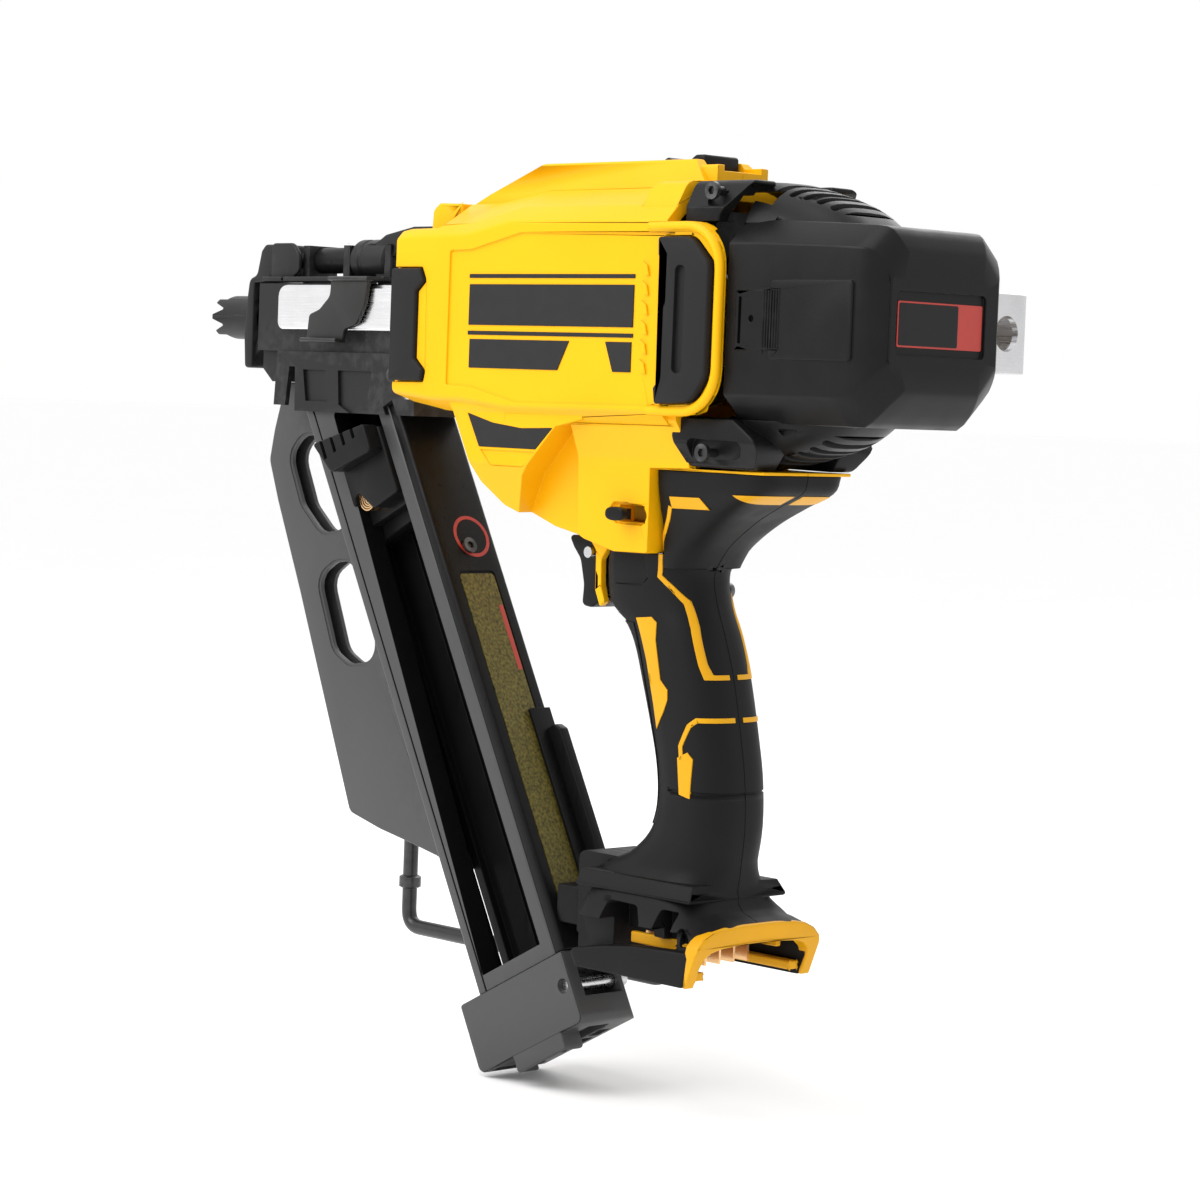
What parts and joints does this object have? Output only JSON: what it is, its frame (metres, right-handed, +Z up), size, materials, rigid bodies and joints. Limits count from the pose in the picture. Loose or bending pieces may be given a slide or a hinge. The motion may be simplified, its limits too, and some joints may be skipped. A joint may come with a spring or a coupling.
{
  "type": "framing nailer",
  "caption": "Cordless framing nailer with an angled stick magazine, flywheel drive, sliding contact trip, pistol grip and battery foot.",
  "frame": {"origin": "front face of the nose, on the drive axis, where the nail leaves", "axes": "+X back along the drive axis to the rear cap, +Z up, -Y the left side of the tool"},
  "size_m": [0.376, 0.099, 0.333],
  "materials": {
    "yellow_shell": "moulded, fine texture",
    "black_shell": "moulded, fine texture",
    "yellow_trim": "moulded, satin",
    "rubber_black": "matt overmould",
    "bright_plate": "polished",
    "black_casting": "blackened steel",
    "black_sheet": "black oxide",
    "guide_grey": "hard anodised grey",
    "magazine_dark": "anodised, satin",
    "label_olive": "printed film",
    "black_moulding": "moulded",
    "frame_alloy": "machined",
    "ground_steel": "ground",
    "spring_steel": "spring wire",
    "copper_stator": "wound copper",
    "contact_copper": "plated contacts",
    "board_green": "circuit board",
    "lamp_lens": "clear",
    "dark_screw": "black oxide",
    "hook_wire": "phosphated wire",
    "hook_strap": "bright strap"
  },
  "bodies": {
    "tool": {"housing_left": "yellow_shell", "housing_right": "yellow_shell", "motor_cover": "black_shell", "rear_cap": "black_shell", "handle_left": "black_shell", "handle_right": "black_shell", "grip_pad": "rubber_black", "handle_accents": "yellow_trim", "front_bumper_left": "rubber_black", "front_bumper_right": "rubber_black", "rear_bumper_left": "rubber_black", "rear_bumper_right": "rubber_black", "nose_flange": "bright_plate", "nose_body": "black_casting", "nose_plate": "bright_plate", "trip_spring_tube": "black_casting", "magazine_head": "black_casting", "nail_guide": "guide_grey", "magazine_channel": "magazine_dark", "magazine_cover": "magazine_dark", "magazine_label": "label_olive", "magazine_cap": "black_moulding", "magazine_rail": "black_moulding", "magazine_pin": "ground_steel", "drive_frame_left": "frame_alloy", "drive_frame_right": "frame_alloy", "guide_rods": "ground_steel", "stop_bumpers": "rubber_black", "motor_stator": "copper_stator", "motor_bearings": "ground_steel", "solenoid": "black_sheet", "control_board": "board_green", "switch_module": "black_moulding", "trigger_pin": "ground_steel", "roller_pivot_pin": "ground_steel", "battery_dock": "yellow_trim", "battery_terminals": "contact_copper", "led_lens": "lamp_lens", "belt_hook": "hook_strap", "hook_bracket": "black_moulding", "housing_screws": "dark_screw", "cover_screws": "dark_screw", "magazine_screws": "dark_screw", "trip_spring": "spring_steel", "trigger_spring": "spring_steel", "return_springs": "spring_steel"},
    "trip": {"contact_trip": "black_casting", "trip_link": "black_sheet"},
    "depth_wheel": {"depth_wheel": "black_moulding"},
    "trigger": {"trigger": "black_moulding"},
    "selector": {"selector_switch": "black_moulding"},
    "stall_lever": {"stall_lever": "black_moulding"},
    "driver": {"driver": "ground_steel", "driver_blade": "ground_steel"},
    "flywheel": {"flywheel": "ground_steel"},
    "roller_arm": {"roller_arm": "frame_alloy"},
    "pinch_roller": {"pinch_roller": "ground_steel"},
    "plunger": {"solenoid_plunger": "ground_steel"},
    "pusher": {"pusher": "black_moulding"},
    "rafter_hook": {"rafter_hook": "hook_wire"}
  },
  "joints": [
    {"name": "trip_slide", "type": "slide", "parent": "tool", "child": "trip", "axis": [1, 0, 0], "range_m": [0, 0.008], "stiffness_N_per_m": 1200, "springref_m": -0.005, "deforming": ["trip_spring"]},
    {"name": "depth_wheel_turn", "type": "hinge", "parent": "tool", "child": "depth_wheel", "pos_m": [0.044, 0, 0.0225], "axis": [1, 0, 0], "range_deg": [-360, 360]},
    {"name": "trigger_pull", "type": "hinge", "parent": "tool", "child": "trigger", "pos_m": [0.203, 0, -0.081], "axis": [0, -1, 0], "range_deg": [0, 10], "stiffness_Nm_per_rad": 0.4, "springref_deg": -8.59, "deforming": ["trigger_spring"]},
    {"name": "selector_slide", "type": "slide", "parent": "tool", "child": "selector", "axis": [1, 0, 0], "range_m": [0, 0.004]},
    {"name": "stall_release", "type": "slide", "parent": "tool", "child": "stall_lever", "axis": [1, 0, 0], "range_m": [0, 0.01], "stiffness_N_per_m": 150, "springref_m": -0.01},
    {"name": "driver_slide", "type": "slide", "parent": "tool", "child": "driver", "axis": [-1, 0, 0], "range_m": [0, 0.098], "stiffness_N_per_m": 80, "springref_m": -0.05, "deforming": ["return_springs"]},
    {"name": "flywheel_spin", "type": "hinge", "parent": "tool", "child": "flywheel", "pos_m": [0.19, 0, -0.031], "axis": [0, 1, 0], "continuous": true},
    {"name": "roller_press", "type": "hinge", "parent": "tool", "child": "roller_arm", "pos_m": [0.222, 0, 0.02], "axis": [0, -1, 0], "range_deg": [0, 2.5], "stiffness_Nm_per_rad": 3, "springref_deg": -2.86},
    {"name": "roller_spin", "type": "hinge", "parent": "roller_arm", "child": "pinch_roller", "pos_m": [0.197, 0, 0.0153], "axis": [0, 1, 0], "continuous": true},
    {"name": "plunger_slide", "type": "slide", "parent": "tool", "child": "plunger", "axis": [-1, 0, 0], "range_m": [0, 0.0006]},
    {"name": "pusher_slide", "type": "slide", "parent": "tool", "child": "pusher", "axis": [0.4695, 0, -0.8829], "range_m": [0, 0.16], "stiffness_N_per_m": 12, "springref_m": -0.5},
    {"name": "hook_swing", "type": "hinge", "parent": "tool", "child": "rafter_hook", "pos_m": [0.205, 0.032, -0.237], "axis": [0, 0, -1], "range_deg": [0, 95]}
  ],
  "couplings": [
    {"joint": "plunger_slide", "follows": "roller_press", "m_per_rad": 0.011}
  ]
}
